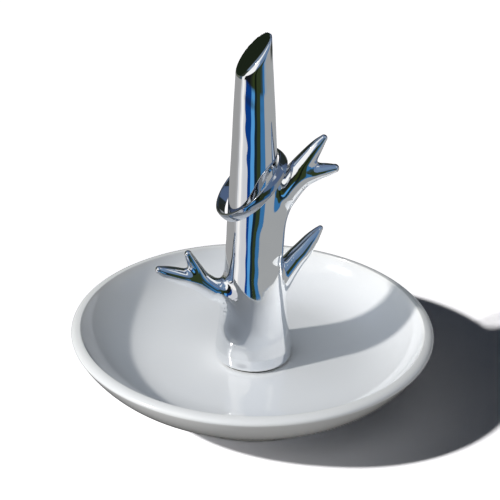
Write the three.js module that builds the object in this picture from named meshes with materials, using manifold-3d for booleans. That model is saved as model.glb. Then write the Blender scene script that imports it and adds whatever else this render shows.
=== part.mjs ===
// A ring dish: a shallow white bowl, a plated tree that stands in it to hold rings, and one finger ring.
// Millimetres, +Z up. The origin is the middle of the foot ring, on the surface that the dish stands on.
import * as THREE from "three";
import { mergeVertices } from "three/addons/utils/BufferGeometryUtils.js";
import Module from "manifold-3d";

const wasm = await Module();
wasm.setup();

// Clearances: the play left round what turns or rests in a hole, and how far a cutting shape runs on.
const seatGap = 0.3;
const cutOverrun = 1;

// How many flat sides stand for a round.
const dishSides = 60;
const trunkSides = 30;
const branchSides = 18;
const bandSides = 60;
const smallSides = 32;
const wallSteps = 10;
const lipSteps = 8;
const cornerSteps = 3;
const trunkSteps = 2;
const branchSteps = 12;
const crotchSteps = 100;

// Dish: the bowl's outside.
const dishRadius = 48;
const widestHeight = 18.5;
const lipWidth = 2.45;
const lipHeight = 1.3;
const lipStart = THREE.MathUtils.degToRad(-15);
// Where the outer wall's two handles stand: shares of its width and its height.
const wallFootShares = [0.44, 0];
const wallTopShares = [0.815, 0.47];

// Dish: the inside.
const floorRadius = 26.2;
const floorThickness = 3.3;
// Where the inner wall's two handles stand: shares of its width.
const wallCrestShare = 0.03;
const wallFloorShare = 0.13;

// Dish: the underside.
const recessDepth = 6.6;
const footRingRadius = 27;
const footRingWidth = 3.4;
const footRingHeight = 4.8;
const footRingEdge = 0.8;
const recessFillet = 1.2;
const dishHolePlay = 0.45;

// Tree: the trunk. It stands a little off the middle, as the play in the dish's hole lets it.
const treeOffset = 0.35;
const trunkHeight = 90.4;
const trunkFootRadius = 10.1;
const trunkTopRadius = 4.25;
const trunkFootEdge = 1.1;
const trunkLean = 1.4;
// From foot to top: share of the height, share of the way from the top's radius to the foot's.
const trunkShares = [
  [0.04, 1],
  [0.1, 0.88],
  [0.18, 0.735],
  [0.27, 0.6],
  [0.365, 0.51],
  [0.455, 0.445],
  [0.56, 0.35],
  [0.67, 0.255],
  [0.78, 0.175],
  [0.89, 0.08],
  [1, 0],
];

// Tree: the slanted cut across the top, highest on the right and a little to the back.
const cutSlope = THREE.MathUtils.degToRad(49);
const cutAzimuth = THREE.MathUtils.degToRad(21.5);

// Tree: how far the threaded hole in the foot runs on past the screw's end.
const threadRunout = 1.6;

// Tree: the branches. Heights are above the foot, outs are from the trunk's axis at the foot.
// Each row of shares is one place along the limb, root to tip: share of the way out, of the way up,
// and of the way from the tip's radius to the root's.
const upperBranch = {
  azimuth: THREE.MathUtils.degToRad(0),
  rootOut: 1.9,
  tipOut: 16.5,
  rootHeight: 32.7,
  tipHeight: 63.3,
  rootRadius: 4.9,
  tipRadius: 0.95,
  shares: [
    [0, 0, 1],
    [0.14, 0.28, 0.78],
    [0.35, 0.515, 0.645],
    [0.57, 0.69, 0.53],
    [0.775, 0.845, 0.33],
    [0.905, 0.94, 0.165],
    [1, 1, 0],
  ],
};
const upperProng = {
  azimuth: upperBranch.azimuth,
  rootOut: 7.6,
  tipOut: 19.6,
  rootHeight: 48.3,
  tipHeight: 55.05,
  rootRadius: 2.9,
  tipRadius: 1.15,
  shares: [
    [0, 0, 1],
    [0.28, 0.55, 0.91],
    [0.55, 0.8, 0.69],
    [0.79, 0.92, 0.4],
    [1, 1, 0],
  ],
};
const middleBranch = {
  azimuth: THREE.MathUtils.degToRad(26),
  rootOut: 3.5,
  tipOut: 18.8,
  rootHeight: 15,
  tipHeight: 33.9,
  rootRadius: 3.9,
  tipRadius: 0.8,
  shares: [
    [0, 0, 1],
    [0.26, 0.34, 0.84],
    [0.5, 0.575, 0.66],
    [0.66, 0.7, 0.56],
    [0.83, 0.855, 0.36],
    [0.95, 0.96, 0.13],
    [1, 1, 0],
  ],
};
const lowerBranch = {
  azimuth: THREE.MathUtils.degToRad(198),
  rootOut: 3.6,
  tipOut: 25.9,
  rootHeight: 15.6,
  tipHeight: 29.1,
  rootRadius: 4.4,
  tipRadius: 1.05,
  shares: [
    [0, 0, 1],
    [0.17, 0.3, 0.64],
    [0.31, 0.4, 0.5],
    [0.46, 0.55, 0.43],
    [0.61, 0.7, 0.37],
    [0.76, 0.815, 0.33],
    [0.9, 0.92, 0.2],
    [1, 1, 0],
  ],
};
const lowerProng = {
  azimuth: lowerBranch.azimuth,
  rootOut: 11.6,
  tipOut: 18.2,
  rootHeight: 21.4,
  tipHeight: 32.6,
  rootRadius: 2.5,
  tipRadius: 1,
  shares: [
    [0, 0, 1],
    [0.36, 0.27, 0.68],
    [0.65, 0.57, 0.5],
    [0.86, 0.82, 0.24],
    [1, 1, 0],
  ],
};
const limbs = [upperBranch, upperProng, middleBranch, lowerBranch, lowerProng];

// Fixing: a soft disc under the tree's foot, and a screw with two washers from below.
const gasketRadius = 9.1;
const gasketThickness = 0.4;
const screwRadius = 2;
const screwGrip = 8.4;
const headRadius = 3.9;
const headHeight = 2.2;
const headEdge = 0.9;
const driveLength = 4.4;
const driveWidth = 1;
const driveDepth = 1.4;
const washerRadius = 6;
const washerThickness = 0.8;
const softWasherRadius = 5.6;
const softWasherThickness = 0.8;

// Finger ring: a plain band. It hangs askew on the trunk, its high side above the upper branch and its
// middle a little below the crotch there, or higher by whole steps where the branch is in its way.
const bandPlay = 4.15;
const bandWidth = 2.9;
const bandThickness = 0.9;
const bandDome = 0.15;
const bandCorner = 0.3;
const bandDrop = 2.7;
const bandStep = 0.2;
const bandBack = 1;
const bandAzimuth = THREE.MathUtils.degToRad(9);
// How many times the search for the band's tilt halves its range.
const tiltHalvings = 40;

// Heights that follow from the stack.
const floorHeight = recessDepth + floorThickness;
const crestHeight = widestHeight + lipHeight;
const treeHeight = floorHeight + gasketThickness;
const threadRadius = screwRadius + seatGap;
const threadDepth = screwGrip + threadRunout;
const dishHoleRadius = screwRadius + treeOffset + dishHolePlay;

const porcelain = new THREE.MeshStandardMaterial({
  color: 0xe9e8e6,
  roughness: 0.14,
  metalness: 0,
});
const plating = new THREE.MeshStandardMaterial({
  color: 0xc9cccf,
  roughness: 0.05,
  metalness: 1,
});
const steel = new THREE.MeshStandardMaterial({
  color: 0xb4b6b8,
  roughness: 0.25,
  metalness: 1,
});
const rubber = new THREE.MeshStandardMaterial({
  color: 0x3b3d2c,
  roughness: 0.7,
  metalness: 0,
});
const silver = new THREE.MeshStandardMaterial({
  color: 0xc3c6cc,
  roughness: 0.08,
  metalness: 1,
});

// Turns a closed three.js geometry into a solid: corners merged, and triangles shrunk to a line left out.
function solidFrom(geometry) {
  const bare = geometry.index ? geometry.toNonIndexed() : geometry.clone();
  bare.deleteAttribute("normal");
  bare.deleteAttribute("uv");
  const merged = mergeVertices(bare);
  const corners = merged.index.array;
  const kept = [];
  for (let i = 0; i < corners.length; i += 3) {
    const [a, b, c] = corners.subarray(i, i + 3);
    if (a !== b && b !== c && c !== a) kept.push(a, b, c);
  }
  return new wasm.Manifold(
    new wasm.Mesh({
      numProp: 3,
      vertProperties: merged.attributes.position.array,
      triVerts: new Uint32Array(kept),
    }),
  );
}

// Turns a solid back into a geometry with flat-shaded facets.
function geometryFrom(solid) {
  const result = solid.getMesh();
  const geometry = new THREE.BufferGeometry();
  geometry.setAttribute("position", new THREE.BufferAttribute(result.vertProperties, 3));
  geometry.setIndex(new THREE.BufferAttribute(result.triVerts, 1));
  geometry.computeVertexNormals();
  return geometry;
}

// Revolves a profile of [radius, height] points about +Z.
function turned(points, sides) {
  return new THREE.LatheGeometry(points, sides).rotateX(Math.PI / 2);
}

// Rounds a corner of an outline: from where it is now, round the corner, to the end.
function roundCorner(section, cornerX, cornerY, endX, endY) {
  const start = section.currentPoint.clone();
  const corner = new THREE.Vector2(cornerX, cornerY);
  const end = new THREE.Vector2(endX, endY);
  const arc = new THREE.QuadraticBezierCurve(start, corner, end);
  for (const point of arc.getPoints(cornerSteps).slice(1)) section.lineTo(point.x, point.y);
}

function pieceMesh(name, solid, material) {
  const mesh = new THREE.Mesh(geometryFrom(solid), material);
  mesh.name = name;
  return mesh;
}

// A flat ring or disc with square edges, from its underside up.
function flatRing(innerRadius, outerRadius, thickness) {
  const section = new THREE.Path();
  section.moveTo(innerRadius, 0);
  section.lineTo(outerRadius, 0);
  section.lineTo(outerRadius, thickness);
  section.lineTo(innerRadius, thickness);
  section.closePath();
  return solidFrom(turned(section.getPoints(), smallSides));
}

// The dish: from its hole out along the underside, over the lip and back across the floor.
function dish() {
  const recessRadius = footRingRadius - footRingWidth;
  const crestRadius = dishRadius - lipWidth;
  const wallWidth = dishRadius - footRingRadius;
  const wallHeight = widestHeight - footRingHeight;
  const bowlWidth = crestRadius - floorRadius;
  const section = new THREE.Path();
  section.moveTo(dishHoleRadius, recessDepth);
  section.lineTo(recessRadius - recessFillet, recessDepth);
  roundCorner(section, recessRadius, recessDepth, recessRadius, recessDepth - recessFillet);
  section.lineTo(recessRadius, footRingEdge);
  roundCorner(section, recessRadius, 0, recessRadius + footRingEdge, 0);
  section.lineTo(footRingRadius - footRingEdge, 0);
  roundCorner(section, footRingRadius, 0, footRingRadius, footRingEdge);
  section.lineTo(footRingRadius, footRingHeight);
  section.bezierCurveTo(
    footRingRadius + wallFootShares[0] * wallWidth,
    footRingHeight + wallFootShares[1] * wallHeight,
    footRingRadius + wallTopShares[0] * wallWidth,
    footRingHeight + wallTopShares[1] * wallHeight,
    crestRadius + lipWidth * Math.cos(lipStart),
    widestHeight + lipHeight * Math.sin(lipStart),
  );
  for (let step = 1; step <= lipSteps; step += 1) {
    const turn = THREE.MathUtils.lerp(lipStart, Math.PI / 2, step / lipSteps);
    section.lineTo(crestRadius + lipWidth * Math.cos(turn), widestHeight + lipHeight * Math.sin(turn));
  }
  section.bezierCurveTo(
    crestRadius - wallCrestShare * bowlWidth,
    crestHeight,
    floorRadius + (1 - wallFloorShare) * bowlWidth,
    floorHeight,
    floorRadius,
    floorHeight,
  );
  section.lineTo(dishHoleRadius, floorHeight);
  section.closePath();
  return solidFrom(turned(section.getPoints(wallSteps), dishSides));
}

// The trunk's outline above its foot, as a smooth curve of [radius, height].
const trunkOutline = new THREE.SplineCurve(
  trunkShares.map(
    ([up, thick]) =>
      new THREE.Vector2(trunkTopRadius + thick * (trunkFootRadius - trunkTopRadius), up * trunkHeight),
  ),
);

const trunkPoints = trunkOutline.getPoints(trunkSteps * (trunkShares.length - 1));

// The trunk's radius at a height above its foot.
function trunkRadiusAt(height) {
  let above = 1;
  while (above < trunkPoints.length - 1 && trunkPoints[above].y < height) above += 1;
  const low = trunkPoints[above - 1];
  const high = trunkPoints[above];
  return THREE.MathUtils.mapLinear(height, low.y, high.y, low.x, high.x);
}

// How far left the trunk's axis has leaned at a height above its foot.
function trunkAxisAt(height) {
  return (-trunkLean * height) / trunkHeight;
}

// The trunk stands on a flat foot with a rounded edge, leans a little left and runs past the slanted cut.
function trunk() {
  const foot = new THREE.Path();
  foot.moveTo(0, 0);
  foot.lineTo(trunkFootRadius - trunkFootEdge, 0);
  roundCorner(foot, trunkFootRadius, 0, trunkFootRadius, trunkFootEdge);
  const over = trunkHeight + cutOverrun;
  const points = [
    ...foot.getPoints(),
    ...trunkPoints,
    new THREE.Vector2(trunkTopRadius, over),
    new THREE.Vector2(0, over),
  ];
  const lean = new THREE.Matrix4().makeShear(0, 0, 0, 0, trunkAxisAt(trunkHeight) / trunkHeight, 0);
  return solidFrom(turned(points, trunkSides).applyMatrix4(lean));
}

// A limb's centre line, its radius along it as a curve's second value, and the level direction across it.
function limbCurves({ azimuth, rootOut, tipOut, rootHeight, tipHeight, rootRadius, tipRadius, shares }) {
  const outward = new THREE.Vector3(Math.cos(azimuth), Math.sin(azimuth), 0);
  const across = new THREE.Vector3(-outward.y, outward.x, 0);
  const centres = shares.map(([out, up]) =>
    outward
      .clone()
      .multiplyScalar(THREE.MathUtils.lerp(rootOut, tipOut, out))
      .setZ(THREE.MathUtils.lerp(rootHeight, tipHeight, up)),
  );
  const radii = shares.map(([, , thick]) => THREE.MathUtils.lerp(tipRadius, rootRadius, thick));
  return {
    centreLine: new THREE.CatmullRomCurve3(centres),
    thickness: new THREE.SplineCurve(radii.map((radius, place) => new THREE.Vector2(place, radius))),
    across,
  };
}

// One limb: turned straight, with a flat root and a round tip, then bent along its centre line.
function limb(branch) {
  const { centreLine, thickness, across } = limbCurves(branch);
  const { tipRadius } = branch;
  // Straight limb: height 0 is the root and 1 the tip's middle, and its round cap goes past 1.
  const length = centreLine.getLength();
  const profile = [new THREE.Vector2(0, 0)];
  for (let step = 0; step <= branchSteps; step += 1) {
    const along = step / branchSteps;
    profile.push(new THREE.Vector2(thickness.getPoint(along).y, along));
  }
  for (let step = 1; step <= cornerSteps; step += 1) {
    const turn = (step / cornerSteps) * (Math.PI / 2);
    const capRadius = step === cornerSteps ? 0 : tipRadius * Math.cos(turn);
    profile.push(new THREE.Vector2(capRadius, 1 + (tipRadius * Math.sin(turn)) / length));
  }
  const geometry = new THREE.LatheGeometry(profile, branchSides);
  const places = geometry.getAttribute("position");
  const vertex = new THREE.Vector3();
  for (let i = 0; i < places.count; i += 1) {
    vertex.fromBufferAttribute(places, i);
    const along = Math.min(vertex.y, 1);
    const tangent = centreLine.getTangent(along);
    const outside = new THREE.Vector3().crossVectors(across, tangent);
    const bent = centreLine
      .getPoint(along)
      .addScaledVector(tangent, (vertex.y - along) * length)
      .addScaledVector(across, vertex.x)
      .addScaledVector(outside, vertex.z);
    places.setXYZ(i, bent.x, bent.y, bent.z);
  }
  return solidFrom(geometry);
}

// The height above the foot at which a branch's upper side leaves the trunk.
function crotchHeight(branch) {
  const { centreLine, thickness, across } = limbCurves(branch);
  for (let step = 0; step <= crotchSteps; step += 1) {
    const along = step / crotchSteps;
    const inside = new THREE.Vector3().crossVectors(centreLine.getTangent(along), across);
    const edge = centreLine.getPoint(along).addScaledVector(inside, thickness.getPoint(along).y);
    if (Math.hypot(edge.x - trunkAxisAt(edge.z), edge.y) > trunkRadiusAt(edge.z)) return edge.z;
  }
  return branch.tipHeight;
}

// The block above the slanted cut, whose underside passes through the trunk's highest point.
function cutBlock() {
  const size = trunkHeight;
  const block = new THREE.BoxGeometry(size, size, size);
  block.translate(0, 0, size / 2);
  block.rotateY(-cutSlope);
  block.rotateZ(cutAzimuth);
  block.translate(
    trunkTopRadius * Math.cos(cutAzimuth) + trunkAxisAt(trunkHeight),
    trunkTopRadius * Math.sin(cutAzimuth),
    trunkHeight,
  );
  return solidFrom(block);
}

// The tree is one casting: trunk and limbs joined, the top cut on the slant, the foot bored for the screw.
function tree() {
  const bore = new THREE.CylinderGeometry(threadRadius, threadRadius, threadDepth + cutOverrun, smallSides);
  bore.rotateX(Math.PI / 2);
  bore.translate(0, 0, (threadDepth - cutOverrun) / 2);
  let casting = trunk();
  for (const branch of limbs) casting = casting.add(limb(branch));
  return casting.subtract(cutBlock()).subtract(solidFrom(bore));
}

// The screw, head down: a pan head with a cross cut in it, and its shank.
function fixingScrew() {
  const shankLength = softWasherThickness + washerThickness + floorThickness + gasketThickness + screwGrip;
  const section = new THREE.Path();
  section.moveTo(0, -headHeight);
  section.lineTo(headRadius - headEdge, -headHeight);
  roundCorner(section, headRadius, -headHeight, headRadius, headEdge - headHeight);
  section.lineTo(headRadius, 0);
  section.lineTo(screwRadius, 0);
  section.lineTo(screwRadius, shankLength - screwRadius / 2);
  section.lineTo(screwRadius / 2, shankLength);
  section.lineTo(0, shankLength);
  const slotDepth = driveDepth + cutOverrun;
  const slot = new THREE.BoxGeometry(driveLength, driveWidth, slotDepth);
  slot.translate(0, 0, -headHeight - cutOverrun + slotDepth / 2);
  const crossSlot = slot.clone().rotateZ(Math.PI / 2);
  const blank = solidFrom(turned(section.getPoints(), smallSides));
  return blank.subtract(solidFrom(slot)).subtract(solidFrom(crossSlot));
}

// The band's own size.
const lowestBandHeight = crotchHeight(upperBranch) - bandDrop;
const bandInnerRadius = trunkRadiusAt(lowestBandHeight) + bandPlay;
const halfBand = bandWidth / 2;

// Half of the open width of the band across the tilt, seen from above, with its rounded corners.
function openHalfWidth(tilt) {
  const cornerShare = Math.cos(tilt) + Math.sin(tilt) - 1;
  return bandInnerRadius * Math.cos(tilt) - halfBand * Math.sin(tilt) + bandCorner * cornerShare;
}

// The trunk's radius where the high edge of a band hung at a height passes it, and where its low edge does.
function trunkRadiiAtEdges(height, tilt) {
  const rise = bandInnerRadius * Math.sin(tilt) + halfBand * Math.cos(tilt);
  return [trunkRadiusAt(height + rise), trunkRadiusAt(height - rise)];
}

// The steepest tilt at which the open width still clears the trunk on both sides.
function bandTilt(height) {
  let level = 0;
  let upright = Math.PI / 2;
  for (let halving = 0; halving < tiltHalvings; halving += 1) {
    const tilt = (level + upright) / 2;
    const [atHighEdge, atLowEdge] = trunkRadiiAtEdges(height, tilt);
    const clears = 2 * openHalfWidth(tilt) > atHighEdge + atLowEdge + 2 * seatGap;
    if (clears) level = tilt;
    else upright = tilt;
  }
  return level;
}

// The place of a band hung at a height: midway between the trunk's two near sides, and a little to the back
// along its tilt axis.
function bandPlace(height) {
  const tilt = bandTilt(height);
  const [atHighEdge, atLowEdge] = trunkRadiiAtEdges(height, tilt);
  const shift = (atHighEdge - atLowEdge) / 2;
  const place = new THREE.Object3D();
  place.rotation.set(0, -tilt, bandAzimuth, "ZYX");
  place.position.set(
    shift * Math.cos(bandAzimuth) - bandBack * Math.sin(bandAzimuth) + trunkAxisAt(height),
    shift * Math.sin(bandAzimuth) + bandBack * Math.cos(bandAzimuth),
    height,
  );
  place.updateMatrix();
  return place.matrix;
}

// The band, turned flat: straight inside, a low dome outside, small round corners. Its section can be grown
// on all sides.
function band(growth) {
  const section = new THREE.Path();
  const inner = bandInnerRadius - growth;
  const outer = bandInnerRadius + bandThickness + growth;
  const edge = outer - bandDome;
  const half = halfBand + growth;
  section.moveTo(inner + bandCorner, -half);
  section.lineTo(edge - bandCorner, -half);
  roundCorner(section, edge, -half, edge, bandCorner - half);
  roundCorner(section, outer + bandDome, 0, edge, half - bandCorner);
  roundCorner(section, edge, half, edge - bandCorner, half);
  section.lineTo(inner + bandCorner, half);
  roundCorner(section, inner, half, inner, half - bandCorner);
  section.lineTo(inner, bandCorner - half);
  roundCorner(section, inner, -half, inner + bandCorner, -half);
  section.closePath();
  return turned(section.getPoints(), bandSides);
}

// The lowest height at which the band, grown by half its clearance, is clear of the tree.
function bandHeightOn(casting) {
  let height = lowestBandHeight;
  while (height < trunkHeight) {
    const grown = band(seatGap / 2).applyMatrix4(bandPlace(height));
    if (casting.intersect(solidFrom(grown)).isEmpty()) break;
    height += bandStep;
  }
  return height;
}

// Assembly.
const ringDish = new THREE.Group();
ringDish.add(pieceMesh("dish", dish(), porcelain));

const onTheScrew = new THREE.Group();
onTheScrew.position.set(treeOffset, 0, 0);
ringDish.add(onTheScrew);

const gasket = pieceMesh("foot_gasket", flatRing(threadRadius, gasketRadius, gasketThickness), rubber);
gasket.position.z = floorHeight;
onTheScrew.add(gasket);

const softWasher = pieceMesh(
  "soft_washer",
  flatRing(threadRadius, softWasherRadius, softWasherThickness),
  rubber,
);
softWasher.position.z = recessDepth - softWasherThickness;
onTheScrew.add(softWasher);

const washer = pieceMesh("steel_washer", flatRing(threadRadius, washerRadius, washerThickness), steel);
washer.position.z = softWasher.position.z - washerThickness;
onTheScrew.add(washer);

const screw = pieceMesh("fixing_screw", fixingScrew(), steel);
screw.position.z = washer.position.z;
onTheScrew.add(screw);

const standing = new THREE.Group();
standing.position.z = treeHeight;
onTheScrew.add(standing);
const casting = tree();
standing.add(pieceMesh("tree", casting, plating));

const fingerRing = pieceMesh("finger_ring", solidFrom(band(0)), silver);
fingerRing.applyMatrix4(bandPlace(bandHeightOn(casting)));
standing.add(fingerRing);

export default ringDish;
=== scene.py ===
import math

import bmesh
import bpy
import numpy as np
from mathutils import Matrix, Vector, geometry


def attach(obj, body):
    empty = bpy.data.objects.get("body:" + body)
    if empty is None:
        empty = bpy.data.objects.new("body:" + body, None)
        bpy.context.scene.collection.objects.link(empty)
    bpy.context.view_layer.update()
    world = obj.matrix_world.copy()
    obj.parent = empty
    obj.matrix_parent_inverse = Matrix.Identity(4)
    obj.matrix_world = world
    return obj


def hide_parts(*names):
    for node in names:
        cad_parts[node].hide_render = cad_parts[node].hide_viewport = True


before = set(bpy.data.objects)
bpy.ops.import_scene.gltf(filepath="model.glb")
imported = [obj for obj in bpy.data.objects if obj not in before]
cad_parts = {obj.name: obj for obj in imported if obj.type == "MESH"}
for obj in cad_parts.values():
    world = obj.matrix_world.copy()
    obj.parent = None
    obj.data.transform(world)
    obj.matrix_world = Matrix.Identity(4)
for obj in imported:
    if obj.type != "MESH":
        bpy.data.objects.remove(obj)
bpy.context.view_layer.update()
mm = 0.001
scene = bpy.context.scene
print("frame loaded:", ", ".join(sorted(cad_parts)))


# Shader helpers: one node with its settings and inputs, and short forms of those that are used most.
def addNode(tree, kind, inputs=None, **settings):
    made = tree.nodes.new(kind)
    for name, value in settings.items():
        setattr(made, name, value)
    for name, value in (inputs or {}).items():
        if isinstance(value, bpy.types.NodeSocket):
            tree.links.new(value, made.inputs[name])
        else:
            made.inputs[name].default_value = value
    return made


def maths(tree, operation, first, second=0.0):
    return addNode(tree, "ShaderNodeMath", {0: first, 1: second}, operation=operation).outputs[0]


def fade(tree, value, start, end, low=0.0, high=1.0):
    inputs = {"Value": value, "From Min": start, "From Max": end, "To Min": low, "To Max": high}
    return addNode(tree, "ShaderNodeMapRange", inputs, interpolation_type="SMOOTHSTEP").outputs["Result"]


def mixColour(tree, factor, first, second):
    # Sockets 0, 6 and 7 are the factor and the two colours, and output 2 is the mixed colour.
    return addNode(tree, "ShaderNodeMix", {0: factor, 6: first, 7: second}, data_type="RGBA").outputs[2]


def makeGroup(name, inputs, outputs):
    tree = bpy.data.node_groups.new(name, "ShaderNodeTree")
    for socketName, kind, value in inputs:
        tree.interface.new_socket(socketName, in_out="INPUT", socket_type=kind).default_value = value
    for socketName, kind in outputs:
        tree.interface.new_socket(socketName, in_out="OUTPUT", socket_type=kind)
    return tree, tree.nodes.new("NodeGroupInput").outputs, tree.nodes.new("NodeGroupOutput").inputs


marksLook = {"detail": 3.0, "roughness": 0.55, "finerSpots": 7.0, "even": (0.14, 0.4)}


# Handling marks: soft clouds with finer spots in them, between a low and a high value.
def marksGroup():
    number = "NodeSocketFloat"
    inputs = [("Size", number, 120.0), ("Low", number, 0.0), ("High", number, 1.0)]
    tree, given, result = makeGroup("marks", inputs, [("Value", number), ("Cloud", number)])
    place = addNode(tree, "ShaderNodeTexCoord").outputs["Object"]
    cloudInputs = {
        "Vector": place,
        "Scale": given["Size"],
        "Detail": marksLook["detail"],
        "Roughness": marksLook["roughness"],
    }
    cloud = addNode(tree, "ShaderNodeTexNoise", cloudInputs).outputs["Fac"]
    spotsSize = maths(tree, "MULTIPLY", given["Size"], marksLook["finerSpots"])
    spots = addNode(tree, "ShaderNodeTexNoise", {"Vector": place, "Scale": spotsSize}).outputs["Fac"]
    even = fade(tree, maths(tree, "MULTIPLY", cloud, spots), *marksLook["even"])
    spread = maths(tree, "SUBTRACT", given["High"], given["Low"])
    value = maths(tree, "ADD", maths(tree, "MULTIPLY", even, spread), given["Low"])
    tree.links.new(value, result["Value"])
    tree.links.new(cloud, result["Cloud"])
    return tree


marks = marksGroup()


def newMaterial(name):
    material = bpy.data.materials.new(name)
    material.use_nodes = True
    tree = material.node_tree
    tree.nodes.clear()
    shader = tree.nodes.new("ShaderNodeBsdfPrincipled")
    tree.links.new(shader.outputs[0], tree.nodes.new("ShaderNodeOutputMaterial").inputs[0])
    return material, tree, shader


def addMarks(tree, size, low=0.0, high=1.0):
    inputs = {"Size": size, "Low": low, "High": high}
    return addNode(tree, "ShaderNodeGroup", inputs, node_tree=marks).outputs


def addRipple(tree, shader, ripple):
    # Fine relief: the size and detail of its noise, then the strength and depth of its bump.
    size, detail, strength, depth = ripple
    place = addNode(tree, "ShaderNodeTexCoord").outputs["Object"]
    noise = addNode(tree, "ShaderNodeTexNoise", {"Vector": place, "Scale": size, "Detail": detail})
    relief = {"Strength": strength, "Distance": depth, "Height": noise.outputs["Fac"]}
    tree.links.new(addNode(tree, "ShaderNodeBump", relief).outputs[0], shader.inputs["Normal"])


glazeLook = {
    "white": (0.88, 0.875, 0.865, 1),
    "cloud": (0.845, 0.848, 0.85, 1),
    "cloudSize": 45.0,
    "rim": (0.86, 0.835, 0.785, 1),
    "rimHeight": (0.0182, 0.0202),
    "rimShare": 0.6,
    "bare": (0.74, 0.7, 0.63, 1),
    "bareHeight": (0.0004, 0.0008),
    "bareRoughness": 0.75,
    "speck": (0.3, 0.29, 0.25, 1),
    "speckCells": 62,
    "speckRadius": (0.02, 0.035),
    "speckChance": 0.9,
    "speckShare": 0.7,
    "smearSize": 90.0,
    "roughness": (0.1, 0.16),
    "ripple": (160.0, 1.0, 0.12, 0.00006),
    "fixed": {"IOR": 1.5, "Coat Weight": 0.4, "Coat Roughness": 0.04},
}


def glazeMaterial():
    material, tree, shader = newMaterial("glaze")
    place = addNode(tree, "ShaderNodeTexCoord").outputs["Object"]
    height = addNode(tree, "ShaderNodeSeparateXYZ", {0: place}).outputs["Z"]
    clouds = addMarks(tree, glazeLook["cloudSize"])["Cloud"]
    colour = mixColour(tree, clouds, glazeLook["white"], glazeLook["cloud"])
    # The glaze is thinner and warmer on the lip.
    rimMask = fade(tree, height, *glazeLook["rimHeight"], 0.0, glazeLook["rimShare"])
    colour = mixColour(tree, rimMask, colour, glazeLook["rim"])
    # A few small specks, in the cells whose own random number is high.
    cells = {"Vector": place, "Scale": glazeLook["speckCells"]}
    cell = addNode(tree, "ShaderNodeTexVoronoi", cells)
    near = fade(tree, cell.outputs["Distance"], *reversed(glazeLook["speckRadius"]))
    chance = addNode(tree, "ShaderNodeSeparateColor", {0: cell.outputs["Color"]}).outputs[0]
    chosen = maths(tree, "GREATER_THAN", chance, glazeLook["speckChance"])
    speckMask = maths(tree, "MULTIPLY", maths(tree, "MULTIPLY", near, chosen), glazeLook["speckShare"])
    colour = mixColour(tree, speckMask, colour, glazeLook["speck"])
    # The foot ring's underside is bare fired clay.
    bareMask = fade(tree, height, *reversed(glazeLook["bareHeight"]))
    colour = mixColour(tree, bareMask, colour, glazeLook["bare"])
    tree.links.new(colour, shader.inputs["Base Color"])
    smears = addMarks(tree, glazeLook["smearSize"], *glazeLook["roughness"])["Value"]
    bareRough = maths(tree, "MULTIPLY", bareMask, glazeLook["bareRoughness"])
    tree.links.new(maths(tree, "MAXIMUM", smears, bareRough), shader.inputs["Roughness"])
    addRipple(tree, shader, glazeLook["ripple"])
    for name, value in glazeLook["fixed"].items():
        shader.inputs[name].default_value = value
    return material


# The other finishes: two tints in soft clouds, smears of two roughnesses, and fine relief.
chromeLook = {
    "tint": (0.92, 0.93, 0.94, 1),
    "cloud": (0.86, 0.87, 0.885, 1),
    "smearSize": 110.0,
    "roughness": (0.015, 0.05),
    "ripple": (130.0, 1.5, 0.3, 0.00004),
    "metallic": 1.0,
}
silverLook = {
    "tint": (0.62, 0.64, 0.68, 1),
    "cloud": (0.5, 0.52, 0.56, 1),
    "smearSize": 110.0,
    "roughness": (0.04, 0.09),
    "ripple": (420.0, 1.5, 0.3, 0.00002),
    "metallic": 1.0,
}
zincLook = {
    "tint": (0.62, 0.63, 0.64, 1),
    "cloud": (0.5, 0.51, 0.52, 1),
    "smearSize": 110.0,
    "roughness": (0.24, 0.42),
    "ripple": (900.0, 1.5, 0.3, 0.00003),
    "metallic": 1.0,
}
rubberLook = {
    "tint": (0.035, 0.037, 0.024, 1),
    "cloud": (0.07, 0.07, 0.052, 1),
    "smearSize": 300.0,
    "roughness": (0.55, 0.8),
    "ripple": (2500.0, 2.0, 0.3, 0.0001),
    "metallic": 0.0,
}


def smearedMaterial(name, look):
    material, tree, shader = newMaterial(name)
    smears = addMarks(tree, look["smearSize"], *look["roughness"])
    colour = mixColour(tree, smears["Cloud"], look["tint"], look["cloud"])
    tree.links.new(colour, shader.inputs["Base Color"])
    tree.links.new(smears["Value"], shader.inputs["Roughness"])
    addRipple(tree, shader, look["ripple"])
    shader.inputs["Metallic"].default_value = look["metallic"]
    return material


glaze = glazeMaterial()
chrome = smearedMaterial("chrome plate", chromeLook)
silver = smearedMaterial("polished band", silverLook)
zinc = smearedMaterial("zinc plated steel", zincLook)
softRubber = smearedMaterial("soft rubber", rubberLook)
print("materials made")


# Mesh helpers. Outlines are in millimetres, and points closer than the merge gap become one.
mergeGap = 0.001


def corner(outline, bend, end, count):
    # From the outline's last point round a corner to the end: both handles lie two thirds of the way
    # to the bend.
    start = Vector((*outline[-1], 0))
    bend, end = Vector((*bend, 0)), Vector((*end, 0))
    handles = start.lerp(bend, 2 / 3), end.lerp(bend, 2 / 3)
    outline.extend(point.xy[:] for point in geometry.interpolate_bezier(start, *handles, end, count)[1:])


def curve(outline, first, second, end, count):
    points = [Vector((*point, 0)) for point in (outline[-1], first, second, end)]
    outline.extend(point.xy[:] for point in geometry.interpolate_bezier(*points, count)[1:])


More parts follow.
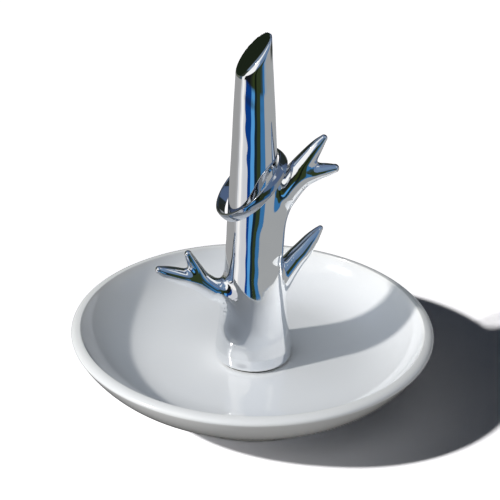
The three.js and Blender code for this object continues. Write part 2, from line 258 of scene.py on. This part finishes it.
def spun(name, outline, steps, place=Matrix.Identity(4), closed=True):
    # Spins an outline of radius and height pairs about Z, and then puts it in its place.
    bm = bmesh.new()
    verts = [bm.verts.new((radius * mm, 0, height * mm)) for radius, height in outline]
    pairs = list(zip(verts, verts[1:]))
    if closed:
        pairs.append((verts[-1], verts[0]))
    edges = [bm.edges.new(pair) for pair in pairs]
    bmesh.ops.spin(
        bm, geom=verts + edges, cent=(0, 0, 0), axis=(0, 0, 1), angle=math.tau, steps=steps, use_merge=True
    )
    bmesh.ops.remove_doubles(bm, verts=bm.verts, dist=mergeGap * mm)
    bmesh.ops.dissolve_degenerate(bm, edges=bm.edges, dist=mergeGap * mm)
    bmesh.ops.recalc_face_normals(bm, faces=bm.faces)
    bmesh.ops.transform(bm, matrix=place, verts=bm.verts)
    return finished(name, bm)


def finished(name, bm, sharpAngle=35):
    mesh = bpy.data.meshes.new(name)
    bm.to_mesh(mesh)
    bm.free()
    mesh.shade_smooth()
    mesh.set_sharp_from_angle(angle=math.radians(sharpAngle))
    piece = bpy.data.objects.new(name, mesh)
    scene.collection.objects.link(piece)
    return piece


def seat(piece, material, body, slot, *nodes):
    piece.data.materials.clear()
    piece.data.materials.append(material)
    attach(piece, body)
    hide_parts(*nodes)


# The dish, in millimetres. The handles of its curves are shares of the wall's or the bowl's reach.
dish = {
    "radius": 48,
    "widestHeight": 18.5,
    "lipWidth": 2.45,
    "lipHeight": 1.3,
    "lipStart": math.radians(-15),
    "floorRadius": 26.2,
    "floorHeight": 9.9,
    "recessDepth": 6.6,
    "recessFillet": 1.2,
    "footRadius": 27,
    "footWidth": 3.4,
    "footHeight": 4.8,
    "footEdge": 0.8,
    "holeRadius": 2.8,
    "wallFoot": (0.44, 0),
    "wallTop": (0.815, 0.47),
    "wallCrest": 0.03,
    "wallFloor": 0.13,
    "floorShares": (0.75, 0.5, 0.25),
    "cornerSteps": 9,
    "wallSteps": 30,
    "lipSteps": 24,
    "bowlSteps": 40,
    "steps": 224,
}


def makeDish():
    d = dish
    inner = d["footRadius"] - d["footWidth"]
    crest = d["radius"] - d["lipWidth"]
    wide, tall = d["radius"] - d["footRadius"], d["widestHeight"] - d["footHeight"]
    bowl = crest - d["floorRadius"]
    foot, edge, fillet = d["footRadius"], d["footEdge"], d["recessFillet"]
    recess, steps = d["recessDepth"], d["cornerSteps"]

    def lipPoint(turn):
        return crest + d["lipWidth"] * math.cos(turn), d["widestHeight"] + d["lipHeight"] * math.sin(turn)

    # From the screw hole out along the recess, round the foot ring and up the outer wall.
    outline = [(d["holeRadius"], recess), (inner - fillet, recess)]
    corner(outline, (inner, recess), (inner, recess - fillet), steps)
    outline.append((inner, edge))
    corner(outline, (inner, 0), (inner + edge, 0), steps)
    outline.append((foot - edge, 0))
    corner(outline, (foot, 0), (foot, edge), steps)
    outline.append((foot, d["footHeight"]))
    curve(
        outline,
        (foot + d["wallFoot"][0] * wide, d["footHeight"] + d["wallFoot"][1] * tall),
        (foot + d["wallTop"][0] * wide, d["footHeight"] + d["wallTop"][1] * tall),
        lipPoint(d["lipStart"]),
        d["wallSteps"],
    )
    # Over the lip, down the bowl and back along the floor.
    for step in range(1, d["lipSteps"] + 1):
        outline.append(lipPoint(d["lipStart"] + (math.pi / 2 - d["lipStart"]) * step / d["lipSteps"]))
    crestHeight = d["widestHeight"] + d["lipHeight"]
    curve(
        outline,
        (crest - d["wallCrest"] * bowl, crestHeight),
        (d["floorRadius"] + (1 - d["wallFloor"]) * bowl, d["floorHeight"]),
        (d["floorRadius"], d["floorHeight"]),
        d["bowlSteps"],
    )
    for share in d["floorShares"]:
        outline.append((share * d["floorRadius"], d["floorHeight"]))
    outline.append((d["holeRadius"], d["floorHeight"]))
    return spun("glazed_dish", outline, d["steps"])


seat(makeDish(), glaze, "dish_and_tree", "porcelain", "dish")
print("dish made")


# The tree, in millimetres from the middle of its foot. Shares run along each limb from root to tip:
# of the way out, of the way up, and of the way from the tip's radius to the root's. The trunk's rows
# leave out the first share. The hole has a radius and a depth.
treeShape = {
    "foot": (0.35, 0, 10.3),
    "height": 90.4,
    "footRadius": 10.1,
    "topRadius": 4.25,
    "lean": -1.4,
    "trunk": [(0.04, 1), (0.1, 0.88), (0.18, 0.735), (0.27, 0.6), (0.365, 0.51), (0.455, 0.445),
              (0.56, 0.35), (0.67, 0.255), (0.78, 0.175), (0.89, 0.08), (1, 0)],
    "cutSlope": math.radians(49),
    "cutAzimuth": math.radians(21.5),
    "cutLift": 0.3,
    # The cut's edge is softly rounded towards this side and crisp elsewhere.
    "cutRound": (0.25, 1.7),
    "cutRoundAzimuth": math.radians(-75),
    "footRound": 1.3,
    "hole": (2.3, 10),
    "waveDepth": 0.012,
    "limbWaveShare": 0.5,
    # Soft dents low on the trunk: turn in degrees, height, reach and depth; a negative depth is a swelling.
    "dents": [(-128, 7.5, 4.5, -0.35), (-108, 3, 2.2, 0.35), (-62, 5, 3.5, 0.15)],
    "voxel": 0.32,
    "smoothings": (3, 2, 1, 0),
    "pulls": 2,
    "limbs": {
        "upperBranch": {
            "azimuth": 0, "out": (1.9, 16.5), "up": (32.7, 63.3), "radius": (4.9, 0.95),
            "shares": [(0, 0, 1), (0.14, 0.28, 0.78), (0.35, 0.515, 0.645), (0.57, 0.69, 0.53),
                       (0.775, 0.845, 0.33), (0.905, 0.94, 0.165), (1, 1, 0)],
        },
        "upperProng": {
            "azimuth": 0, "out": (7.6, 19.6), "up": (48.3, 55.05), "radius": (2.9, 1.15),
            "shares": [(0, 0, 1), (0.28, 0.55, 0.91), (0.55, 0.8, 0.69), (0.79, 0.92, 0.4), (1, 1, 0)],
        },
        "middleBranch": {
            "azimuth": 26, "out": (3.5, 18.8), "up": (15, 33.9), "radius": (3.9, 0.8),
            "shares": [(0, 0, 1), (0.26, 0.34, 0.84), (0.5, 0.575, 0.66), (0.66, 0.7, 0.56),
                       (0.83, 0.855, 0.36), (0.95, 0.96, 0.13), (1, 1, 0)],
        },
        "lowerBranch": {
            "azimuth": 198, "out": (3.6, 25.9), "up": (15.6, 29.1), "radius": (4.4, 1.05),
            "shares": [(0, 0, 1), (0.17, 0.3, 0.64), (0.31, 0.4, 0.5), (0.46, 0.55, 0.43),
                       (0.61, 0.7, 0.37), (0.76, 0.815, 0.33), (0.9, 0.92, 0.2), (1, 1, 0)],
        },
        "lowerProng": {
            "azimuth": 198, "out": (11.6, 18.2), "up": (21.4, 32.6), "radius": (2.5, 1),
            "shares": [(0, 0, 1), (0.36, 0.27, 0.68), (0.65, 0.57, 0.5), (0.86, 0.82, 0.24), (1, 1, 0)],
        },
    },
    # Which limbs flow together, and how softly: fork, then fork to trunk.
    "joins": [(("upperBranch", "upperProng"), 1.8, 2.2), (("middleBranch",), 0, 1.5),
              (("lowerBranch", "lowerProng"), 1.8, 3.0)],
}


def alongCurve(rows, place):
    # A smooth curve through the rows, read at places counted in rows.
    span = np.clip(place.astype(int), 0, len(rows) - 2)
    part = (place - span)[:, None]
    before, start = rows[np.maximum(span - 1, 0)], rows[span]
    end, after = rows[span + 1], rows[np.minimum(span + 2, len(rows) - 1)]
    rise, bend = (end - before) / 2, (after - start) / 2
    square, cube = part**2, part**3
    return (2 * cube - 3 * square + 1) * start + (cube - 2 * square + part) * rise + (
        3 * square - 2 * cube) * end + (cube - square) * bend


def limbRows(limb):
    azimuth = math.radians(limb["azimuth"])
    rows = []
    for out, up, thick in limb["shares"]:
        reach = limb["out"][0] + out * (limb["out"][1] - limb["out"][0])
        height = limb["up"][0] + up * (limb["up"][1] - limb["up"][0])
        radius = limb["radius"][1] + thick * (limb["radius"][0] - limb["radius"][1])
        rows.append((reach * math.cos(azimuth), reach * math.sin(azimuth), height, radius))
    return np.array(rows)


def limbDistance(points, rows, perSpan=6):
    # How far points lie outside one limb: the nearest place on its centre line, then the radius there.
    places = np.linspace(0, len(rows) - 1, perSpan * (len(rows) - 1) + 1)
    line = alongCurve(rows, places)
    nearest = np.full(len(points), np.inf)
    best = np.zeros(len(points))
    for number, (start, end) in enumerate(zip(line[:-1, :3], line[1:, :3])):
        along = end - start
        share = np.clip((points - start) @ along / (along @ along), 0, 1)
        gap = np.sum((points - start - share[:, None] * along) ** 2, axis=1)
        closer = gap < nearest
        nearest[closer] = gap[closer]
        best[closer] = (number + share[closer]) / perSpan
    on = alongCurve(rows, best)
    return np.linalg.norm(points - on[:, :3], axis=1) - on[:, 3]


def blended(first, second, width):
    # The smaller distance, with the crotch between the two filled over the given width.
    overlap = np.maximum(width - np.abs(first - second), 0) / width
    return np.minimum(first, second) - overlap**2 * width / 4


def trunkOutline(count=200):
    # Pairs of radius and height up the trunk.
    taper = treeShape["footRadius"] - treeShape["topRadius"]
    rows = [
        (treeShape["topRadius"] + thick * taper, up * treeShape["height"])
        for up, thick in treeShape["trunk"]
    ]
    return alongCurve(np.array(rows), np.linspace(0, len(rows) - 1, count))


trunkLine = trunkOutline()
allLimbs = {name: limbRows(limb) for name, limb in treeShape["limbs"].items()}
limbReach = 5  # how far round a limb the blend is worked out


def treeDistance(points):
    # How far points lie outside the cast tree, in millimetres.
    x, y, z = points.T
    radius = np.interp(z, trunkLine[:, 1], trunkLine[:, 0])
    across = np.hypot(x - treeShape["lean"] * z / treeShape["height"], y)
    # Long shallow waves of no set pattern, as polishing leaves them.
    waves = np.sin(0.62 * x + 0.5 * z + 1) * np.sin(0.55 * y - 0.31 * z)
    waves = waves + 0.6 * np.sin(0.9 * z + 0.7 * x - 0.8 * y)
    solid = across - radius + treeShape["waveDepth"] * waves
    for turn, height, reach, depth in treeShape["dents"]:
        out = np.interp(height, trunkLine[:, 1], trunkLine[:, 0])
        middle = (out * math.cos(math.radians(turn)), out * math.sin(math.radians(turn)), height)
        solid = solid + depth * np.exp(-np.sum((points - middle) ** 2, axis=1) / reach**2)
    for names, forkWidth, trunkWidth in treeShape["joins"]:
        rows = np.vstack([allLimbs[name] for name in names])
        low = (rows[:, :3] - rows[:, 3:]).min(0) - limbReach
        high = (rows[:, :3] + rows[:, 3:]).max(0) + limbReach
        near = np.all((points > low) & (points < high), axis=1)
        fork = limbDistance(points[near], allLimbs[names[0]])
        for name in names[1:]:
            fork = blended(fork, limbDistance(points[near], allLimbs[name]), forkWidth)
        fork = fork + treeShape["limbWaveShare"] * treeShape["waveDepth"] * waves[near]
        solid[near] = blended(solid[near], fork, trunkWidth)
    slope, azimuth = treeShape["cutSlope"], treeShape["cutAzimuth"]
    facing = np.array((
        -math.sin(slope) * math.cos(azimuth),
        -math.sin(slope) * math.sin(azimuth),
        math.cos(slope),
    ))
    tip = np.array((
        treeShape["topRadius"] * math.cos(azimuth) + treeShape["lean"],
        treeShape["topRadius"] * math.sin(azimuth),
        treeShape["height"] + treeShape["cutLift"],
    ))
    crisp, soft = treeShape["cutRound"]
    side = np.cos(np.arctan2(y, x - treeShape["lean"]) - treeShape["cutRoundAzimuth"])
    edgeWidth = crisp + (soft - crisp) * np.maximum(side, 0) ** 2
    solid = -blended(-solid, -((points - tip) @ facing), edgeWidth)
    solid = -blended(-solid, z, treeShape["footRound"])
    holeRadius, holeDepth = treeShape["hole"]
    hole = np.maximum(np.hypot(x, y) - holeRadius, z - holeDepth)
    return np.maximum(solid, -hole)


def surfaceNormals(points, step=0.02):
    slopes = [treeDistance(points + step * way) - treeDistance(points - step * way) for way in np.eye(3)]
    slopes = np.array(slopes).T
    return slopes / np.maximum(np.linalg.norm(slopes, axis=1), 1e-9)[:, None]


def makeTree():
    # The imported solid, closed up and remeshed finely, is the clay that the smooth casting is drawn from.
    clay = bpy.data.objects.new("clay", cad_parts["tree"].data.copy())
    scene.collection.objects.link(clay)
    bm = bmesh.new()
    bm.from_mesh(clay.data)
    toMillimetres = Matrix.Translation(-Vector(treeShape["foot"])) @ Matrix.Scale(1 / mm, 4)
    bmesh.ops.transform(bm, matrix=toMillimetres, verts=bm.verts)
    bmesh.ops.remove_doubles(bm, verts=bm.verts, dist=mergeGap)
    bm.to_mesh(clay.data)
    bm.free()
    remesh = clay.modifiers.new("voxels", "REMESH")
    remesh.mode = "VOXEL"
    remesh.voxel_size = treeShape["voxel"]
    evaluated = clay.evaluated_get(bpy.context.evaluated_depsgraph_get())
    bm = bmesh.new()
    bm.from_mesh(evaluated.to_mesh())
    evaluated.to_mesh_clear()
    bpy.data.objects.remove(clay)
    # The clay is pulled onto the casting and smoothed, less each time.
    for smoothing in treeShape["smoothings"]:
        points = np.array([vert.co for vert in bm.verts])
        for _ in range(treeShape["pulls"]):
            points = points - surfaceNormals(points) * treeDistance(points)[:, None]
        for vert, point in zip(bm.verts, points):
            vert.co = point
        for _ in range(smoothing):
            bmesh.ops.smooth_vert(
                bm, verts=bm.verts, factor=0.5, use_axis_x=True, use_axis_y=True, use_axis_z=True
            )
    normals = surfaceNormals(points)
    toMetres = Matrix.Scale(mm, 4) @ Matrix.Translation(Vector(treeShape["foot"]))
    bmesh.ops.transform(bm, matrix=toMetres, verts=bm.verts)
    bmesh.ops.triangulate(bm, faces=bm.faces)
    piece = finished("cast_tree", bm, sharpAngle=180)
    piece.data.normals_split_custom_set_from_vertices(normals)
    return piece


seat(makeTree(), chrome, "dish_and_tree", "plating", "tree")
print("tree made")

band = {"dome": 0.15, "corner": 0.3, "cornerSteps": 8, "domeSteps": 16, "steps": 200}


def makeBand():
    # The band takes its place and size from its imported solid, whose thin direction is its axis.
    points = np.array([vert.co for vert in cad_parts["finger_ring"].data.vertices])
    middle = (points.min(0) + points.max(0)) / 2
    spread = np.linalg.eigh(np.cov((points - middle).T))[1]
    axis = Vector(spread[:, 0] * np.sign(spread[2, 0]))
    place = Matrix.Translation(middle) @ axis.to_track_quat("Z", "X").to_matrix().to_4x4()
    heights = (points - middle) @ np.array(axis)
    radii = np.linalg.norm((points - middle) - heights[:, None] * np.array(axis), axis=1)
    inner, outer, half = radii.min() / mm, radii.max() / mm, heights.max() / mm
    edge, soft, steps = outer - band["dome"], band["corner"], band["cornerSteps"]
    outline = [(inner + soft, -half), (edge - soft, -half)]
    corner(outline, (edge, -half), (edge, soft - half), steps)
    corner(outline, (outer + band["dome"], 0), (edge, half - soft), band["domeSteps"])
    corner(outline, (edge, half), (edge - soft, half), steps)
    outline.append((inner + soft, half))
    corner(outline, (inner, half), (inner, half - soft), steps)
    outline.append((inner, soft - half))
    corner(outline, (inner, -half), (inner + soft, -half), steps)
    outline.pop()  # the last point is the first one again
    return spun("plain_band", outline, band["steps"], place)


seat(makeBand(), silver, "finger_ring", "silver", "finger_ring")
print("band made")

# The gasket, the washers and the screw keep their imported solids.
carriedNodes = {
    "foot_gasket": softRubber,
    "soft_washer": softRubber,
    "steel_washer": zinc,
    "fixing_screw": zinc,
}
for nodeName, material in carriedNodes.items():
    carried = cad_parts[nodeName].data.materials
    carried.clear()
    carried.append(material)

# The key comes low from the left and a little from the front. Soft fills from the sky on that side
# and from the front lighten its shadows on the part alone, so that the floor keeps a deep shadow.
lamps = {
    "key": {
        "towards": (1, 0.404, -0.723), "strength": 2.3, "colour": (1, 0.985, 0.955), "softness": 3,
    },
    "sky_fill": {
        "towards": (0.75, 0.2, -1.15), "strength": 1.05, "colour": (0.8, 0.91, 1.06), "softness": 90,
    },
    "front_fill": {
        "towards": (0.1, 1, -0.4), "strength": 0.85, "colour": (0.93, 0.97, 1.0), "softness": 80,
    },
}
sky = {"colour": (0.72, 0.9, 1.2, 1), "strength": 0.018}


def addLamp(name):
    lampLook = lamps[name]
    data = bpy.data.lights.new(name, "SUN")
    data.energy = lampLook["strength"]
    data.color = lampLook["colour"]
    data.angle = math.radians(lampLook["softness"])
    lamp = bpy.data.objects.new(name, data)
    lamp.rotation_euler = Vector(lampLook["towards"]).to_track_quat("-Z", "Y").to_euler()
    scene.collection.objects.link(lamp)
    return lamp


addLamp("key")
lit = bpy.data.collections.new("lit")
visualPieces = [bpy.data.objects[name] for name in ("glazed_dish", "cast_tree", "plain_band")]
for piece in visualPieces + list(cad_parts.values()):
    lit.objects.link(piece)
for name in ("sky_fill", "front_fill"):
    addLamp(name).light_linking.receiver_collection = lit

# What the bright metal mirrors: a round screen that only reflections show. It has upright stripes
# below, then bands that each start between two heights, and plain blue overhead. A row is a turn in
# degrees from the front, to the right, and the colour that starts there.
screen = {
    "radius": 0.2,
    "bottom": -0.3,
    "shoulder": 0.2,
    "top": 0.36,
    "left": [
        (-180, (0.35, 0.35, 0.35)), (-90, (0.4, 0.4, 0.41)), (-80, (0.75, 0.76, 0.78)),
        (-72, (1.0, 0.98, 0.96)), (-60, (0.7, 0.71, 0.73)), (-52, (0.64, 0.65, 0.68)),
    ],
    "right": [
        (-180, (0.0035, 0.045, 0.23)), (-17, (0.09, 0.33, 0.68)), (1, (0.008, 0.018, 0.03)),
        (14, (0.03, 0.047, 0.02)), (32, (0.04, 0.17, 0.38)), (56, (0.37, 0.38, 0.385)),
    ],
    "above": [
        ((0.027, 0.034), [
            (-180, (0.06, 0.07, 0.07)), (-150, (0.13, 0.14, 0.11)), (-100, (0.06, 0.09, 0.12)),
            (-80, (0.95, 0.95, 0.95)), (-62, (0.008, 0.01, 0.012)), (-22, (0.018, 0.025, 0.014)),
            (-10, (0.03, 0.045, 0.014)), (2, (0.006, 0.01, 0.005)), (13, (0.03, 0.045, 0.018)),
            (38, (0.03, 0.055, 0.06)), (50, (0.04, 0.17, 0.4)), (62, (0.3, 0.36, 0.42)),
            (74, (0.36, 0.365, 0.36)), (120, (0.03, 0.035, 0.03)),
        ]),
        ((0.095, 0.103), [
            (-180, (0.02, 0.025, 0.025)), (-152, (0.012, 0.018, 0.01)), (-98, (0.03, 0.04, 0.03)),
            (-72, (1.0, 1.0, 1.0)), (-14, (0.14, 0.22, 0.36)), (52, (0.13, 0.19, 0.32)),
            (120, (0.03, 0.04, 0.04)),
        ]),
        ((0.175, 0.19), [
            (-180, (0.09, 0.12, 0.2)), (-140, (0.17, 0.22, 0.29)), (-100, (0.2, 0.27, 0.37)),
            (-72, (0.97, 0.97, 0.97)), (-38, (0.5, 0.6, 0.72)), (-25, (0.17, 0.26, 0.4)),
            (52, (0.5, 0.55, 0.6)), (60, (0.9, 0.93, 0.95)), (72, (0.14, 0.19, 0.28)),
            (112, (0.03, 0.04, 0.04)), (170, (0.09, 0.12, 0.2)),
        ]),
    ],
    "skyHigh": (0.14, 0.2, 0.33, 1),
    "skyRadius": (0.15, 0.11),
    # The white left part ends at the first turn at the upper height and at the second at the lower one.
    # From the second turn the stripes to the right narrow towards the screen's foot.
    "edgeTurns": (-52, -31),
    "edgeHeights": (0.02, -0.002),
    "edgeSoftness": 1.0,
    "narrowHeights": (0.0, -0.085),
    "narrowing": 3.2,
    "wobble": 5,
    "heightWobble": 0.003,
    "wobbleSize": 28.0,
    "wobbleDetail": 3.0,
    "softEdge": 2.5,
    "domeSteps": 12,
    "steps": 96,
}


def turnRamp(tree, turn, rows):
    # Turns from -180 to 180 degrees fill the ramp.
    wholeTurn = {0: turn, 1: 1 / 360, 2: 0.5}
    share = addNode(tree, "ShaderNodeMath", wholeTurn, operation="MULTIPLY_ADD").outputs[0]
    ramp = addNode(tree, "ShaderNodeValToRGB", {0: share})
    elements = ramp.color_ramp.elements
    stops = []
    for number, (start, colour) in enumerate(rows):
        end = rows[number + 1][0] if number + 1 < len(rows) else 180
        stops += [(start + screen["softEdge"] / 2, colour), (end - screen["softEdge"] / 2, colour)]
    while len(elements) < len(stops):
        elements.new(0.5)
    for element, (degrees, colour) in zip(elements, stops):
        element.position = degrees / 360 + 0.5
        element.color = (*colour, 1)
    return ramp.outputs["Color"]


def screenMaterial():
    material = bpy.data.materials.new("screen")
    material.use_nodes = True
    material.cycles.emission_sampling = "NONE"
    tree = material.node_tree
    tree.nodes.clear()
    place = addNode(tree, "ShaderNodeTexCoord").outputs["Object"]
    way = addNode(tree, "ShaderNodeSeparateXYZ", {0: place}).outputs
    radians = maths(tree, "ARCTAN2", way["X"], maths(tree, "MULTIPLY", way["Y"], -1.0))
    turn = maths(tree, "MULTIPLY", radians, 180 / math.pi)
    wobble = {"Vector": place, "Scale": screen["wobbleSize"], "Detail": screen["wobbleDetail"]}
    uneven = maths(tree, "SUBTRACT", addNode(tree, "ShaderNodeTexNoise", wobble).outputs["Fac"], 0.5)
    turn = maths(tree, "ADD", turn, maths(tree, "MULTIPLY", uneven, screen["wobble"]))
    height = maths(tree, "ADD", way["Z"], maths(tree, "MULTIPLY", uneven, screen["heightWobble"]))
    narrow = fade(tree, way["Z"], *screen["narrowHeights"], 0.0, screen["narrowing"] - 1)
    past = maths(tree, "MAXIMUM", maths(tree, "SUBTRACT", turn, screen["edgeTurns"][1]), 0.0)
    narrowed = maths(tree, "ADD", turn, maths(tree, "MULTIPLY", past, narrow))
    edge = fade(tree, way["Z"], *screen["edgeHeights"], *screen["edgeTurns"])
    pastEdge = maths(tree, "SUBTRACT", turn, edge)
    beyond = fade(tree, pastEdge, -screen["edgeSoftness"], screen["edgeSoftness"])
    left = turnRamp(tree, turn, screen["left"])
    right = turnRamp(tree, narrowed, screen["right"])
    mirrored = mixColour(tree, beyond, left, right)
    for start, rows in screen["above"]:
        mirrored = mixColour(tree, fade(tree, height, *start), mirrored, turnRamp(tree, turn, rows))
    flatten = {0: place, 1: (1, 1, 0)}
    across = addNode(tree, "ShaderNodeVectorMath", flatten, operation="MULTIPLY").outputs[0]
    radius = addNode(tree, "ShaderNodeVectorMath", {0: across}, operation="LENGTH").outputs["Value"]
    mirrored = mixColour(tree, fade(tree, radius, *screen["skyRadius"]), mirrored, screen["skyHigh"])
    glow = addNode(tree, "ShaderNodeEmission", {"Color": mirrored, "Strength": 1.0})
    tree.links.new(glow.outputs[0], tree.nodes.new("ShaderNodeOutputMaterial").inputs[0])
    return material


def makeScreen():
    radius, top = screen["radius"] / mm, screen["top"] / mm
    outline = [(radius, screen["bottom"] / mm), (radius, screen["shoulder"] / mm)]
    corner(outline, (radius, top), (0, top), screen["domeSteps"])
    made = spun("screen", outline, screen["steps"], closed=False)
    made.data.materials.append(screenMaterial())
    for kind in ("camera", "diffuse", "transmission", "volume_scatter", "shadow"):
        setattr(made, "visible_" + kind, False)
    return made


def seenWhite(tree):
    # Camera rays see the white background, and so do those that metal or glass sends on.
    rays = addNode(tree, "ShaderNodeLightPath").outputs
    mirrored = maths(tree, "MAXIMUM", rays["Is Glossy Ray"], rays["Is Transmission Ray"])
    return maths(tree, "MAXIMUM", rays["Is Camera Ray"], mirrored)


def makeWorld():
    world = bpy.data.worlds.new("studio")
    world.use_nodes = True
    world.cycles.sampling_method = "NONE"
    tree = world.node_tree
    tree.nodes.clear()
    fill = addNode(tree, "ShaderNodeBackground", {"Color": sky["colour"], "Strength": sky["strength"]})
    white = addNode(tree, "ShaderNodeBackground", {"Color": (1, 1, 1, 1), "Strength": 1.0})
    shares = {0: seenWhite(tree), 1: fill.outputs[0], 2: white.outputs[0]}
    shown = addNode(tree, "ShaderNodeMixShader", shares)
    tree.links.new(shown.outputs[0], tree.nodes.new("ShaderNodeOutputWorld").inputs[0])
    scene.world = world


makeWorld()

# Mirror images show only the near floor, a little wider than the dish; the wide floor is for the camera
# and the shadow. Its shading leans towards the key, so that it is white in the sun and deep in the shadow.
floorLook = {
    "size": 3.0,
    "nearRadius": 0.062,
    "nearSteps": 96,
    "nearDrop": 0.00005,
    "paper": (0.54, 0.54, 0.54, 1),
    "shown": (1.63, 1.63, 1.7, 1),
    "facing": (-0.52, -0.21, 0.83),
}


def paperMaterial():
    material = bpy.data.materials.new("paper")
    material.use_nodes = True
    tree = material.node_tree
    tree.nodes.clear()
    colour = mixColour(tree, seenWhite(tree), floorLook["paper"], floorLook["shown"])
    facing = addNode(tree, "ShaderNodeCombineXYZ", dict(zip("XYZ", floorLook["facing"]))).outputs[0]
    sheet = addNode(tree, "ShaderNodeBsdfDiffuse", {"Color": colour, "Normal": facing})
    tree.links.new(sheet.outputs[0], tree.nodes.new("ShaderNodeOutputMaterial").inputs[0])
    return material


def makeFloor():
    paper = paperMaterial()
    bm = bmesh.new()
    bmesh.ops.create_grid(bm, x_segments=1, y_segments=1, size=floorLook["size"])
    wide = finished("floor", bm)
    wide.visible_glossy = False
    bm = bmesh.new()
    drop = Matrix.Translation((0, 0, -floorLook["nearDrop"]))
    radius, segments = floorLook["nearRadius"], floorLook["nearSteps"]
    bmesh.ops.create_circle(bm, cap_ends=True, segments=segments, radius=radius, matrix=drop)
    near = finished("near_floor", bm)
    near.visible_camera = False
    for sheet in (wide, near):
        sheet.data.materials.append(paper)
    return wide, near


makeScreen()
makeFloor()

# The photograph's viewpoint: the point it looks at and the distance from there, in millimetres.
camera = {
    "aim": (-1.094, 0, 41.546),
    "distance": 450,
    "elevation": math.radians(27.2),
    "roll": math.radians(1.218),
    "lens": 124.8,
    "sensorWidth": 36,
}


def makeCamera():
    up, flat = math.sin(camera["elevation"]), math.cos(camera["elevation"])
    backward = Vector((0, -flat, up))
    turned = Matrix(((1, 0, 0), (0, up, -flat), (0, flat, up))) @ Matrix.Rotation(camera["roll"], 3, "Z")
    data = bpy.data.cameras.new("camera")
    data.lens = camera["lens"]
    data.sensor_width = camera["sensorWidth"]
    made = bpy.data.objects.new("camera", data)
    stand = (Vector(camera["aim"]) + backward * camera["distance"]) * mm
    made.matrix_world = Matrix.Translation(stand) @ turned.to_4x4()
    scene.collection.objects.link(made)
    scene.camera = made


makeCamera()
scene.view_settings.view_transform = "Standard"
print("scene done")
